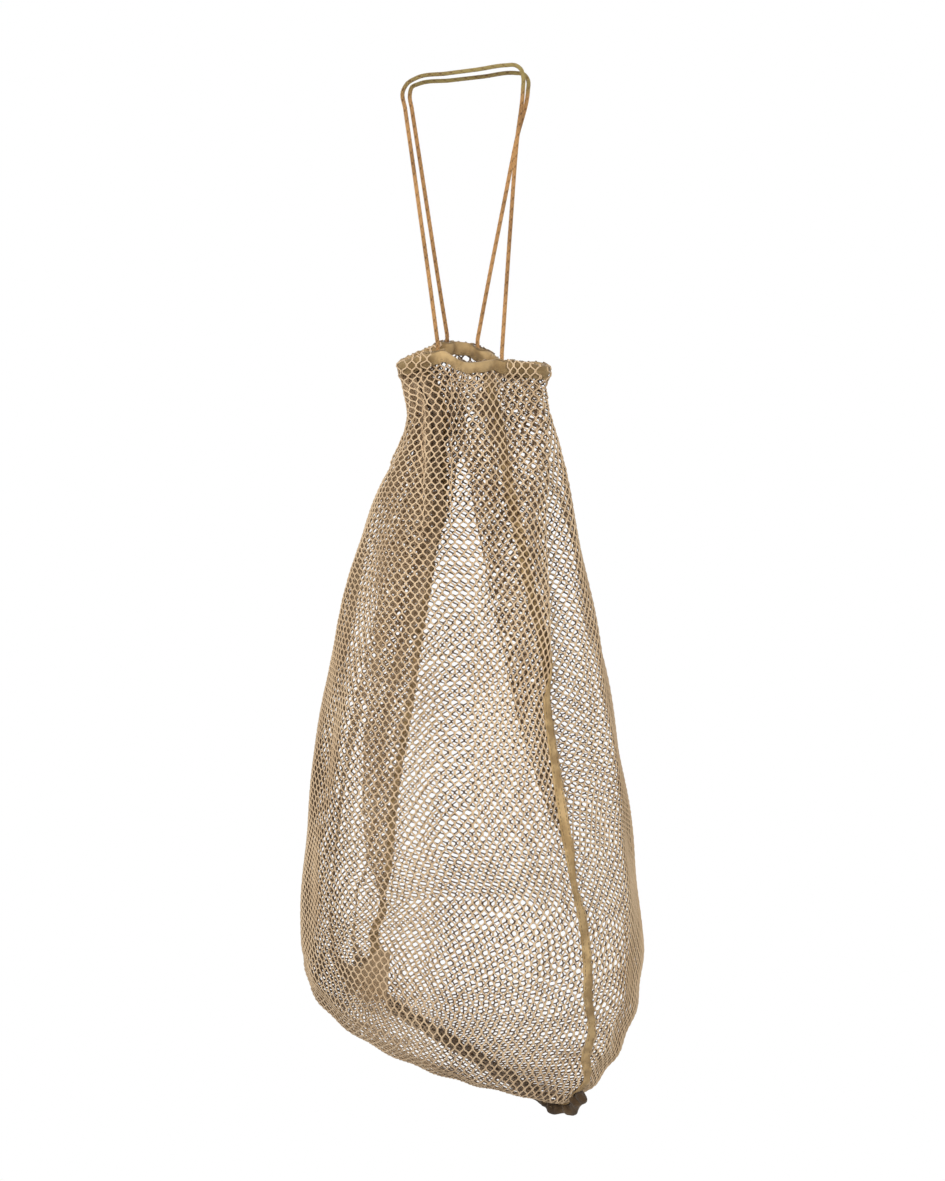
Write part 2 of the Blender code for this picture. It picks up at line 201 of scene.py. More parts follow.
# Seam tapes and stitches
TAPE_DEPTHS = np.linspace(-0.30, 1.985, 330)
TAPE_WIDTH = 0.0085
TAPE_THICK = 0.0007
TAPE_COLUMNS = 9
TAPE_RISE = 0.0012
TAPE_SWAY = 0.0026
TAPE_SWAY_TURN = 20.0
TAPE_SWAY_START = 0.7
TAPE_SWAY_GROWTH = 0.4
TAPE_RUCK = 0.0004
TAPE_RUCK_LENGTH = 0.011
TAPE_RUCK_LEAN = 300
TAPE_STITCH_SHARE = 0.31
TAPE_STITCH_RISE = 0.0001
STITCH_STEP = 0.0034
STITCH_LENGTH = 0.0026
STITCH_RADIUS = 0.00030
STITCH_SEGMENTS = 6
STITCH_RINGS = 5

# Casing: outline of its outer half from the lower edge to the rim, and how it lies
HALF_CASING = np.array((
    (0.0016, -0.0130), (0.0023, -0.0131), (0.0026, -0.0116), (0.0028, -0.0100), (0.0038, -0.0082),
    (0.0041, -0.0062), (0.0041, -0.0042), (0.0037, -0.0024), (0.0028, -0.0010), (0.0015, -0.0003),
))
CASING = np.vstack([HALF_CASING, [(0, 0)], HALF_CASING[::-1] * (-1, 1)])
CASING_HEIGHT = 0.0130
CASING_COLUMNS = 420
CASING_UPPER = -0.006
CASING_TOP_HALF = 0.0034
CASING_INNER = -0.001
EMPTY_WIDTH = 0.48
EMPTY_HEIGHT = {"front": 0.62, "back": 0.78}
EMPTY_FADE = 0.006
WING_HEIGHT = 0.88
# Painted shade on the outer side of the casing's wings, for the shadow of the net over them: its depth,
# and where it starts and how fast it grows away from the middle
WING_SHADE = 0.6
WING_SHADE_START = 0.022
WING_SHADE_GROWTH = 0.012
CASING_STITCH_DROPS = (0.0104, 0.0122)
CASING_STITCH_OUT = 0.0029

# Ripples of the casing: height, and for each wave its length, share and start
CASING_RIPPLE = 0.00022
CASING_RIPPLES = ((0.0068, 1.0, 0.0), (0.0113, 0.6, 1.0))
CASING_EDGE = 0.00040
CASING_EDGES = ((0.0127, 1.0, 0.7),)

# Slits of the casing and the buttonhole stitches round them
EXIT_X = {"front_left": -0.021, "front_right": 0.027, "back_left": -0.0142, "back_right": 0.0084}
SLIT_HALF = 0.0062
SLIT_DEPTH = 0.0034
SLIT_SHIFT = 0.0024
SLIT_SQUARENESS = 4
SLIT_BULGE = 0.18
BUTTONHOLE_STITCHES = 34
BUTTONHOLE_HALF_LENGTH = 0.0074
BUTTONHOLE_HALF_WIDTH = 0.0036
BUTTONHOLE_RISE = 0.0003
BUTTONHOLE_SAG = 0.0016
BUTTONHOLE_LEAN = 0.5
BUTTONHOLE_STITCH_LENGTH = 0.0032
BUTTONHOLE_STITCH_RADIUS = 0.00042

# Bottom binding: outline of half of it, where it goes up the right corner, and its crumples
HALF_BINDING = np.array((
    (0.0020, -0.0012), (0.0032, -0.0010), (0.0036, -0.0030), (0.0036, -0.0050), (0.0034, -0.0072),
    (0.0026, -0.0092), (0.0012, -0.0100),
))
BINDING = np.vstack([HALF_BINDING, HALF_BINDING[::-1] * (-1, 1)])
BINDING_RINGS = 300
BINDING_SMOOTHING = 8
HEM_POINTS = 600
HEM_CORNER_DEPTHS = np.linspace(1.985, 1.64, 30)
HEM_CRUMPLE = 0.5
EAR_CRUMPLE = 1.0
EAR_START = 0.50
EAR_GROWTH = 0.4
BINDING_RUCK = 0.22
BINDING_RUCKS = ((0.0105, 1.0, 0.0), (0.0171, 0.8, 1.1), (0.0061, 0.5, 0.0))
BINDING_SWAY = 0.0012
BINDING_SWAYS = ((0.031, 1.0, 0.4), (0.019, 0.7, 2.0))
BINDING_LIFT = 0.0007
BINDING_LIFTS = ((0.0142, 1.0, 0.3),)
HEM_STITCH_OUT = 0.0037
HEM_STITCH_DROP = 0.0040

# Drawcord
CORD_DEPTH = 0.0052
CORD_STEP = 0.0015
PIVOT_RISE = 0.0044
LOOP_SIDES = 5
HIDDEN_SIDES = 4
HIDDEN_STEPS = 60
HIDDEN_BEND = 0.0045
BEND_STEPS = 12
BRAID_RADIUS = 0.00106
BRAID_SWING = 0.00022
BRAID_STRAND = 0.00043
BRAID_CORE = 0.00085
BRAID_PITCH = 0.0078
BRAID_STEPS = 24
BRAID_START = (0.3, 0.9, 0.2)
FRONT_ROUTE = (
    (-0.0274, -0.0088, -0.150), (-0.0337, -0.0076, -0.105), (-0.0399, -0.0064, -0.060),
    (-0.0447, -0.0054, -0.026), (-0.0464, -0.0050, -0.013), (-0.0432, -0.0050, -0.0073),
    (-0.0360, -0.0050, -0.0030), (-0.0140, -0.0050, 0.0001), (0.0080, -0.0050, 0.0029),
    (0.0300, -0.0050, 0.0061), (0.0366, -0.0050, 0.0061), (0.0407, -0.0050, 0.0032),
    (0.0424, -0.0050, -0.0025), (0.0422, -0.0050, -0.012), (0.0380, -0.0055, -0.048),
    (0.0337, -0.0064, -0.105), (0.0303, -0.0075, -0.155),
)
BACK_ROUTE = (
    (-0.0212, 0.0110, -0.150), (-0.0280, 0.0086, -0.105), (-0.0348, 0.0066, -0.060),
    (-0.0400, 0.0054, -0.026), (-0.0415, 0.0050, -0.0155), (-0.0399, 0.0050, -0.0099),
    (-0.0345, 0.0050, -0.0074), (-0.0120, 0.0050, -0.0050), (0.0120, 0.0050, -0.0023),
    (0.0370, 0.0050, 0.0004), (0.0432, 0.0050, -0.0006), (0.0462, 0.0050, -0.0048),
    (0.0461, 0.0050, -0.0125), (0.0381, 0.0056, -0.0470), (0.0276, 0.0082, -0.100),
    (0.0178, 0.0126, -0.150),
)

# Tones of the carriers that wind to one hand and to the other
BRAID_TONES = {1: (0.15, 0.95, 0.75, 0.9), -1: (0.8, 0.95, 0.7, 0.9)}

# Colours
NET_FACE = (0.66, 0.465, 0.275)
NET_FACE_PALE = (0.80, 0.595, 0.375)
# Painted shade: the net's side that faces into the bag is drawn in these much darker colours
NET_INNER_SHADE = (0.125, 0.072, 0.036)
NET_INNER_SHADE_PALE = (0.205, 0.130, 0.072)
TAPE_DARK = (0.40, 0.255, 0.108)
TAPE_PALE = (0.76, 0.525, 0.252)
HEM_DARK = (0.075, 0.043, 0.019)
HEM_PALE = (0.20, 0.125, 0.058)
# The cord's dark colour serves its darker carriers, and on the core it is painted shade in the gaps
# between them
CORD_DARK_AND_GAP_SHADE = (0.15, 0.070, 0.024)
CORD_PALE = (0.60, 0.330, 0.125)
CORD_CROWN = (0.38, 0.290, 0.105)
THREAD_DARK = (0.22, 0.145, 0.065)
THREAD_PALE = (0.36, 0.250, 0.125)
FLOOR_COLOUR = (0.82, 0.82, 0.82, 1)
WHITE = (1, 1, 1, 1)
BLACK = (0.0, 0.0, 0.0)

# Patterns of the finishes
SHINE = 0.25
YARN_TWIST = 0.0011
YARN_TWIST_LEAN = 2.2
YARN_TONE = 0.25
# Painted light on the net's inner side at the bag's left: how far it lifts the painted shade towards the
# face colour, and the spans of X where it comes in and fades out
LEFT_PAINTED_LIGHT = 0.62
LEFT_LIGHT_FROM = (-0.012, -0.034)
LEFT_LIGHT_TO = (-0.110, -0.080)
TAPE_WARP = 0.00080
TAPE_WEFT = 0.00090
# How dark the painted shade in creases is on the tape and on the binding
TAPE_CREASE_SHADE = 0.5
HEM_CREASE_SHADE = 0.8
CORD_FIBRE = 0.0009
CORD_TONE = 0.45
CORD_CROWN_HEIGHTS = (-0.022, -0.006)
RELIEF = 0.0002

# Line of a net panel at one depth, and which yarns lie at which shares of its width
PanelLine = namedtuple("PanelLine", "points out layer shares yarns")


def ease(t):
    t = np.clip(t, 0, 1)
    return t * t * (3 - 2 * t)


def bell(x, middle, width):
    return np.exp(-(((x - middle) / width) ** 2))


def power(value, exponent):
    return np.sign(value) * np.abs(value) ** exponent


def ripple(at, waves):
    """Sum of waves along a length, each with its own length, share and start."""
    return sum(share * np.sin(at * TURN / length + start) for length, share, start in waves)


def cubic(knots, values, at):
    """Smooth curve through the values, with the slopes of their neighbours."""
    slope = np.gradient(values, knots)
    left = np.clip(np.searchsorted(knots, at) - 1, 0, len(knots) - 2)
    span = knots[left + 1] - knots[left]
    t = (at - knots[left]) / span
    return (
        (2 * t**3 - 3 * t**2 + 1) * values[left]
        + (t**3 - 2 * t**2 + t) * span * slope[left]
        + (3 * t**2 - 2 * t**3) * values[left + 1]
        + (t**3 - t**2) * span * slope[left + 1]
    )


def lengths(points):
    return np.concatenate([[0], np.cumsum(np.linalg.norm(np.diff(points, axis=0), axis=1))])


def at_lengths(along, values, where):
    return np.column_stack([np.interp(where, along, values[:, k]) for k in range(values.shape[1])])


def unit(vectors):
    return vectors / np.maximum(np.linalg.norm(vectors, axis=-1, keepdims=True), 1e-12)


def smoothed(points, reach):
    """Points averaged with their neighbours on both sides."""
    share = np.ones(2 * reach + 1) / (2 * reach + 1)
    padded = np.pad(points, ((reach, reach), (0, 0)), "edge")
    return np.column_stack([np.convolve(column, share, "valid") for column in padded.T])


# Surface of the bag


def station(height):
    rows = STATIONS[::-1]
    return [cubic(rows[:, 0], rows[:, k], height) for k in range(1, STATIONS.shape[1])]


def rim_rise(x, y):
    droop = WING_DROOP * np.clip(-x - WING_DROOP_START, 0, None)
    return RIM_TILT_X * x + RIM_TILT_Y * y - droop


def waist(x, mouth_x, spread, wing_share, roundness):
    """Share of the full depth at x: the wings are pressed flat at the rim and round out below."""
    share = wing_share + (1 - wing_share) * bell(x, mouth_x, spread)
    return share + (1 - share) * roundness


def body_ring(height, turn):
    """Points of the wall at one height, for angles in radians. The front is at minus 90 degrees."""
    left, right, front, back, *_ = station(height)
    roundness = ease((WALL_TOP - height) / RIM_FADE_DEPTH)
    exponent = 2 / (RIM_SQUARENESS + (2 - RIM_SQUARENESS) * roundness)
    half = (right - left) / 2
    x = (right + left) / 2 + half * power(np.cos(turn), exponent)
    spread = MOUTH_SPREAD * half / ((STATIONS[0, 2] - STATIONS[0, 1]) / 2)
    front_depth = -front * waist(x, FRONT_MOUTH_X, spread, FRONT_WING_SHARE, roundness)
    back_depth = back * waist(x, BACK_MOUTH_X, spread, BACK_WING_SHARE, roundness)
    depth = np.where(np.sin(turn) < 0, front_depth, back_depth)
    y = depth * power(np.sin(turn), exponent)
    z = height + rim_rise(x, y) * (1 - roundness)
    return np.stack([x, y, z], axis=-1)


def bottom_ring(share, turn, side):
    """Points of the rounded bottom, from the widest ring at share 0 to the bottom seam at 1."""
    ring = body_ring(WALL_END, turn)
    left, right, front, back = STATIONS[-1, 1:5]
    middle = np.array([(left + right) / 2, (front + back) / 2])
    along, across = BOTTOM_RUN[:2], BOTTOM_SIDE[:2]
    p = ring[:, :2] - middle
    reach = (right - left) / 2
    beta = share * np.pi / 2
    rise = np.sin(beta) ** (2 / BOTTOM_SQUARENESS)
    close = np.abs(np.cos(beta)) ** (2 / BOTTOM_SQUARENESS)
    length = 1 - (1 - BOTTOM_HALF_LENGTH / reach) * (1 - close)
    width = p @ across * close + side * BOTTOM_HALF_THICK * (1 - close)
    seam = BOTTOM_MIDDLE + BOTTOM_DROP * (p @ along) / reach
    plan = middle + np.outer(p @ along * length, along) + np.outer(width, across)
    return np.column_stack([plan, WALL_END + (seam - WALL_END) * rise])


def height_at(depth):
    return WALL_TOP + (WALL_END - WALL_TOP) * np.clip(depth, 0, 1)


def base_ring(depth):
    """Closed ring of the wall from the right seam through the front, its lengths and the left seam's."""
    right, left = np.radians(station(height_at(depth))[4:])
    share = np.clip(depth - 1, 0, 1)
    right = right + (BOTTOM_ANGLE - right) * share
    left = left + (BOTTOM_ANGLE + np.pi - left) * share
    turn = np.linspace(right, right - TURN, RING_POINTS)
    if depth <= 1:
        ring = body_ring(height_at(depth), turn)
        ring[:, 2] += np.clip(-depth, 0, None) * RIM_LIFT
        front_sag = FRONT_SAG * bell(ring[:, 0], FRONT_SAG_X, FRONT_SAG_WIDTH)
        back_sag = BACK_SAG * bell(ring[:, 0], BACK_SAG_X, BACK_SAG_WIDTH)
        sag = np.where(np.sin(turn) < 0, front_sag, back_sag)
        ring[:, 2] -= sag * ease(1 - depth / SAG_DEPTH)
    else:
        ring = bottom_ring(share, turn, np.where(turn > left - TURN, -1, 1))
    along = lengths(ring)
    left_share = (right - left + TURN) / TURN
    return ring, along, np.interp(left_share * (RING_POINTS - 1), np.arange(RING_POINTS), along)


def outward(points, depth):
    """Directions off the cloth's outer side along a line that runs clockwise seen from above."""
    step = np.gradient(points, axis=0)
    flat = unit(np.column_stack([-step[:, 1], step[:, 0], np.zeros(len(step))]))
    down = BOTTOM_FACING * ease(depth - 1)
    return unit(flat * (1 - down) - down * UP)


# Folds of the net, as paths of distances along the ring and offsets from it


def lane(start, stop):
    return np.linspace(start, stop, max(3, int(abs(stop - start) / PATH_STEP)))


def level(start, stop, offset):
    """A stretch of path at one offset, or with an offset for each place along the ring."""
    along = lane(start, stop)
    offsets = offset(along) if callable(offset) else np.full(len(along), offset)
    return np.column_stack([along, offsets])


def fold_back(near, far, gap):
    """A fold of three layers: in under the outer layer to far, back to near and on along the top."""
    half = gap / 2
    swing = np.linspace(-np.pi / 2, np.pi / 2, FOLD_STEPS)
    under = np.column_stack([far - half + half * np.cos(swing), -1.5 * gap + half * np.sin(swing)])
    over = np.column_stack([near + half - half * np.cos(swing), -0.5 * gap + half * np.sin(swing)])
    return np.vstack([under, level(far - half, near + half, -gap), over])


def dive(near, gap):
    """Offset that sinks under a coming fold."""
    reach = FLAP_SLOPE * max(gap, LEAST_GAP)
    return lambda along: -2 * gap * ease((along - near + reach) / reach)


def pleat(at, deep, base):
    """A fold that hangs straight into the bag from an offset."""
    half = min(PLEAT_GAP, deep) / 2
    inward = base - lane(0, max(deep - half, 0))
    swing = np.linspace(-np.pi / 2, np.pi / 2, PLEAT_STEPS)
    tip = np.column_stack([at + half * np.sin(swing), inward[-1] - half * np.cos(swing)])
    down = np.column_stack([np.full(len(inward), at - half), inward])
    up = np.column_stack([np.full(len(inward), at + half), inward[::-1]])
    return np.vstack([down, tip, up])


def pleated(start, stop, spots, deep, offset=0.0):
    """Stretches of path from start to stop, with a pleat at each spot."""
    half = min(PLEAT_GAP, deep) / 2
    at = start
    for spot in spots:
        if deep > LEAST_PLEAT and at < spot - half and spot + half < stop:
            yield level(at, spot - half, offset)
            yield pleat(spot, deep, offset(spot) if callable(offset) else offset)
            at = spot + half
    yield level(at, stop, offset)


def swell(around, depth, waves):
    """Waves over the wall: how many go round it, how many go down it and where they start."""
    across, down, start = waves
    return np.sin(TURN * (across * around + down * depth) + start)


def wave(around, depth):
    """Soft unevenness of the hanging net, for shares of the way round."""
    fade = ease(depth / WAVE_GROWTH) * ease((2 - depth) / WAVE_FADE)
    lean = DRAPE_LEAN * np.sin(TURN * DRAPE_BENDS * depth)
    drape = swell(around, depth, (DRAPES, 0.0, lean)) * ease((DRAPE_END - depth) / DRAPE_FADE)
    dents = swell(around, depth, DENTS) * swell(around, depth, CROSSING_DENTS)
    small = swell(around, depth, SMALL_WAVES)
    return fade * (DRAPE_HEIGHT * drape + DENT_HEIGHT * dents + SMALL_WAVE_HEIGHT * small)


def flap_sizes(height):
    """Right flap's width, gap, tuck and edge, then left flap's width, gap and reach past its seam."""
    right_width, tuck, left_width, past = [np.interp(height, FLAPS[:, 0], size) for size in FLAPS.T[1:]]
    right_growth, left_growth = [min(1.0, width / FLAP_GROWTH) for width in (right_width, left_width)]
    gap = np.interp(height, *LAYER_GAPS.T)
    near = tuck if tuck < 0 else -FLAP_EDGE * right_growth * ease(tuck / TUCK_GROWTH)
    return (right_width, gap * right_growth, tuck, near), (left_width, gap * left_growth, past)


def folded_line(depth):
    """The net's line round the bag with its folds: points, layer offsets, ends of stretches, tuck."""
    ring, along, left_seam = base_ring(depth)
    whole = along[-1]
    height = height_at(depth)
    (right_width, right_gap, tuck, near), (left_width, left_gap, past) = flap_sizes(height)
    flap = left_seam - left_width
    limit = {place: np.interp(height, PLEAT_HEIGHTS, deep) for place, deep in PLEAT_LIMITS.items()}
    tip = np.argmin(ring[:, 0])
    left_end = along[tip]

    def at_x(x, first, last):
        return along[first + np.argmin(np.abs(ring[first:last, 0] - x))]

    behind = np.searchsorted(along, left_seam)
    middle = at_x(MIDDLE_X, 0, tip)
    front_pleats = [at_x(x, 0, tip) for x in FRONT_PLEATS_X]
    left_pleats = [left_end + share * (left_seam - left_end) for share in LEFT_PLEAT_SHARES]
    back_middle, back_pleat = [at_x(x, behind, RING_POINTS) for x in (MIDDLE_X, BACK_PLEAT_X)]
    front_deep = limit["front"]
    seen = (left_end - middle + 2 * front_deep * len(front_pleats)) / YARN_SPACING
    left_spare = (YARNS["front"] - MIDDLE_YARN - seen) * YARN_SPACING - (left_seam - left_end)
    left_deep = np.clip(left_spare / 2 / len(left_pleats), 0, limit["left"])
    back_taken = left_width + 2 * past + whole - flap + 2 * right_width - near - tuck
    back_deep = np.clip((YARNS["back"] * YARN_SPACING - back_taken) / 2, 0, limit["back"])
    back_stop = whole + right_width - right_gap / 2
    stretches = (
        [level(near + right_gap / 2, middle, 0.0)],
        [*pleated(middle, left_end, front_pleats, front_deep)],
        [*pleated(left_end, left_seam - left_gap / 2, left_pleats, left_deep, dive(flap, left_gap))],
        [
            level(left_seam - left_gap / 2, left_seam + past - left_gap / 2, -2 * left_gap),
            fold_back(flap, left_seam + past, left_gap),
            level(flap + left_gap / 2, back_middle, 0.0),
        ],
        [
            *pleated(back_middle, back_stop, [back_pleat], back_deep, dive(whole + near, right_gap)),
            fold_back(whole + near, whole + right_width, right_gap),
        ],
    )
    parts = [np.vstack(stretch) for stretch in stretches]
    path, layers = np.vstack(parts).T
    place = path % whole
    offset = layers + wave(path / whole, depth)
    out = at_lengths(along, outward(ring, depth), place)
    points = at_lengths(along, ring, place) + offset[:, None] * out
    ends = np.cumsum([len(part) for part in parts]) - 1
    return points, layers, lengths(points)[ends], tuck


def panel_paths(depth):
    """Lines of both net panels at one depth, cut from the folded line at the side seams."""
    points, layers, ends, tuck = folded_line(depth)
    middle, left_end, left_seam, _, total = ends
    twice = np.vstack([points, points[1:]])
    twice_layers = np.concatenate([layers, layers[1:]])
    along = lengths(twice)
    cuts = {
        "front": np.array((-tuck, middle, left_end, left_seam)),
        "back": np.array((left_seam, total - tuck)),
    }
    at_left_end = MIDDLE_YARN + (left_end - middle) / YARN_SPACING
    yarns = {
        "front": (0, MIDDLE_YARN, min(at_left_end, YARNS["front"] - 1), YARNS["front"]),
        "back": (0, YARNS["back"]),
    }
    paths = {}
    for panel, cut in cuts.items():
        where = np.linspace(cut[0], cut[-1], PANEL_POINTS)
        line = at_lengths(along, twice, where % total if panel == "back" else where + total)
        layer = np.interp((where + total) % (2 * total), along, twice_layers)
        shares = (cut - cut[0]) / (cut[-1] - cut[0])
        paths[panel] = PanelLine(line, outward(line, depth), layer, shares, yarns[panel])
    return paths


def on_panel(path, shares):
    """Points, outward directions and layer offsets at shares of a panel's width."""
    along = lengths(path.points)
    where = np.asarray(shares) * along[-1]
    return (
        at_lengths(along, path.points, where),
        unit(at_lengths(along, path.out, where)),
        np.interp(where, along, path.layer),
    )


def yarn_shares(path, yarns):
    """Shares of a panel's width where yarns lie: the seen yarns keep their distance from the middle."""
    return np.interp(yarns, path.yarns, path.shares)


def row_numbers(lines, rise):
    """Row of the net at each depth and line, so that cells lean and stretch as little as they can."""
    run = np.gradient(lines, axis=0)
    across = np.diff(lines, axis=1)
    lean = np.sum(across * unit(run[:, 1:] + run[:, :-1]), axis=2) / rise[:, None]
    down = np.linalg.norm(np.diff(lines, axis=0), axis=2)
    steps = down * 2 / (rise[1:] + rise[:-1])[:, None]
    by_line, by_depth = [np.diff(np.eye(count), axis=0) for count in lines.shape[1::-1]]
    line_weight = (rise.mean() / np.linalg.norm(across, axis=2).mean()) ** 2
    depth_weight = (rise.mean() / down.mean()) ** 2
    line_value, line_shape = np.linalg.eigh(line_weight * by_line.T @ by_line)
    depth_value, depth_shape = np.linalg.eigh(depth_weight * by_depth.T @ by_depth)
    pull = line_weight * lean @ by_line + depth_weight * by_depth.T @ steps
    stiffness = depth_value[:, None] + line_value
    stiffness[0, 0] = np.inf
    rows = depth_shape @ (depth_shape.T @ pull @ line_shape / stiffness) @ line_shape.T
    return np.maximum.accumulate(rows, axis=0)


# Making pieces


def new_node(tree, kind, settings=None, sockets=None):
    """A node with its settings set first, then its sockets set or linked."""
    made = tree.nodes.new(kind)
    for name, value in (settings or {}).items():
        setattr(made, name, value)
    for name, value in (sockets or {}).items():
        if isinstance(value, bpy.types.NodeSocket):
            tree.links.new(value, made.inputs[name])
        else:
            made.inputs[name].default_value = value
    return made


def new_tree(name, inputs):
    """A geometry tree with its input node, and the identifiers of its inputs."""
    tree = bpy.data.node_groups.new(name, "GeometryNodeTree")
    tree.interface.new_socket("Geometry", in_out="INPUT", socket_type="NodeSocketGeometry")
    tree.interface.new_socket("Geometry", in_out="OUTPUT", socket_type="NodeSocketGeometry")
    known = {}
    for label, kind in inputs.items():
        known[label] = tree.interface.new_socket(label, in_out="INPUT", socket_type=kind).identifier
    return tree, new_node(tree, "NodeGroupInput"), known


def end_tree(tree, source, shape):
    real = new_node(tree, "GeometryNodeRealizeInstances", None, {"Geometry": shape})
    sockets = {"Geometry": real.outputs[0], "Material": source.outputs["Material"]}
    dressed = new_node(tree, "GeometryNodeSetMaterial", None, sockets)
    new_node(tree, "NodeGroupOutput", None, {"Geometry": dressed.outputs[0]})


def point_label(tree, kind, name):
    """Named numbers or directions of a tree's points."""
    made = new_node(tree, "GeometryNodeInputNamedAttribute", {"data_type": kind}, {"Name": name})
    return made.outputs["Attribute"]


def strand_tree():
    """Round strands along the edges of a mesh, as thick as its points say."""
    inputs = {"Sides": "NodeSocketInt", "Material": "NodeSocketMaterial"}
    tree, source, known = new_tree("strands", inputs)
    lines = new_node(tree, "GeometryNodeMeshToCurve", None, {"Mesh": source.outputs["Geometry"]})
    sockets = {"Resolution": source.outputs["Sides"], "Radius": 1.0}
    ring = new_node(tree, "GeometryNodeCurvePrimitiveCircle", None, sockets)
    sockets = {
        "Curve": lines.outputs[0], "Profile Curve": ring.outputs["Curve"],
        "Scale": point_label(tree, "FLOAT", "thick"), "Fill Caps": True,
    }
    swept = new_node(tree, "GeometryNodeCurveToMesh", None, sockets)
    soft = new_node(tree, "GeometryNodeSetShadeSmooth", None, {0: swept.outputs[0]})
    end_tree(tree, source, soft.outputs[0])
    return tree, known


def stitch_tree():
    """One short stitch at each point, along its direction and lying on its surface."""
    inputs = {"Size": "NodeSocketVector", "Material": "NodeSocketMaterial"}
    tree, source, known = new_tree("stitches", inputs)
    sockets = {"Segments": STITCH_SEGMENTS, "Rings": STITCH_RINGS, "Radius": 1.0}
    bead = new_node(tree, "GeometryNodeMeshUVSphere", None, sockets)
    soft = new_node(tree, "GeometryNodeSetShadeSmooth", None, {0: bead.outputs[0]})
    spots = new_node(tree, "GeometryNodeMeshToPoints", None, {"Mesh": source.outputs["Geometry"]})
    turn = None
    for axis, label in (("Z", "along"), ("X", "outward")):
        sockets = {"Vector": point_label(tree, "FLOAT_VECTOR", label)}
        settings = {"axis": axis}
        if turn:
            sockets["Rotation"] = turn.outputs[0]
            settings["pivot_axis"] = "Z"
        turn = new_node(tree, "FunctionNodeAlignRotationToVector", settings, sockets)
    sockets = {
        "Points": spots.outputs[0], "Instance": soft.outputs[0],
        "Rotation": turn.outputs[0], "Scale": source.outputs["Size"],
    }
    sewn = new_node(tree, "GeometryNodeInstanceOnPoints", None, sockets)
    end_tree(tree, source, sewn.outputs[0])
    return tree, known


STRANDS = strand_tree()
STITCHES = stitch_tree()


def label_points(mesh, labels):
    """Named numbers or directions on a mesh's points."""
    for name, values in labels.items():
        values = np.asarray(values, np.float32)
        kind, field = ("FLOAT_VECTOR", "vector") if values.ndim == 2 else ("FLOAT", "value")
        mesh.attributes.new(name, kind, "POINT").data.foreach_set(field, values.ravel())


def add(name, data):
    made = bpy.data.objects.new(name, data)
    scene.collection.objects.link(made)
    return made


def grow(name, tree, points, edges, labels, inputs):
    """A piece grown by a geometry tree from labelled points and edges, as a finished mesh."""
    mesh = bpy.data.meshes.new(name + "_guide")
    mesh.from_pydata(points, edges, [])
    label_points(mesh, labels)
    made = add(name, mesh)
    modifier = made.modifiers.new("grow", "NODES")
    modifier.node_group = tree[0]
    for label, value in inputs.items():
        modifier[tree[1][label]] = value
    graph = bpy.context.evaluated_depsgraph_get()
    final = bpy.data.meshes.new_from_object(made.evaluated_get(graph), depsgraph=graph)
    made.modifiers.clear()
    made.data = final
    bpy.data.meshes.remove(mesh)
    final.name = name
    return made


def strands(name, chains, sides, finish):
    """Strands along chains, each a dictionary of its points and their labels."""
    points = np.vstack([chain["points"] for chain in chains])
    ends = np.cumsum([len(chain["points"]) for chain in chains])
    first = np.setdiff1d(np.arange(len(points) - 1), ends - 1)
    labels = {
        key: np.concatenate([chain[key] for chain in chains])
        for key in chains[0] if key != "points"
    }
    edges = np.column_stack([first, first + 1]).tolist()
    return grow(name, STRANDS, points.tolist(), edges, labels, {"Sides": sides, "Material": finish})


def stitches(name, points, along, out, length=STITCH_LENGTH, radius=STITCH_RADIUS):
    inputs = {"Size": (radius, radius, length / 2), "Material": THREAD}
    return grow(name, STITCHES, points.tolist(), [], {"along": along, "outward": out}, inputs)


def band(name, rings, along, across, finish, shade=0.0):
    """A closed skin over rings of points, with its ends filled, labelled along and across."""
    count, sides = rings.shape[:2]
    index = np.arange(count * sides).reshape(count, sides)
    wrapped = np.roll(index, -1, axis=1)
    corners = (index[:-1], wrapped[:-1], wrapped[1:], index[1:])
    faces = np.stack([corner.ravel() for corner in corners], axis=1).tolist()
    faces += [index[0, ::-1].tolist(), index[-1].tolist()]
    mesh = bpy.data.meshes.new(name)
    mesh.from_pydata(rings.reshape(-1, 3).tolist(), [], faces)
    for label, values in (("along", along), ("across", across), ("shade", shade)):
        label_points(mesh, {label: np.broadcast_to(values, index.shape).ravel()})
    mesh.polygons.foreach_set("use_smooth", np.ones(len(mesh.polygons), bool))
    mesh.update()
    mesh.materials.append(finish)
    return add(name, mesh)


def settle(piece, body, node):
    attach(piece, body)
    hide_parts(node)


# Finishes


class Wire:
    """A shader socket that can be used in sums."""

    def __init__(self, finish, socket):
        self.finish = finish
        self.socket = socket

    def math(self, operation, first, second):
        return self.finish.node("ShaderNodeMath", {"operation": operation}, {0: first, 1: second})

    def __add__(self, other):
        return self.math("ADD", self, other)

    def __rsub__(self, other):
        return self.math("SUBTRACT", other, self)

    def __mul__(self, other):
        return self.math("MULTIPLY", self, other)

    __radd__ = __add__
    __rmul__ = __mul__


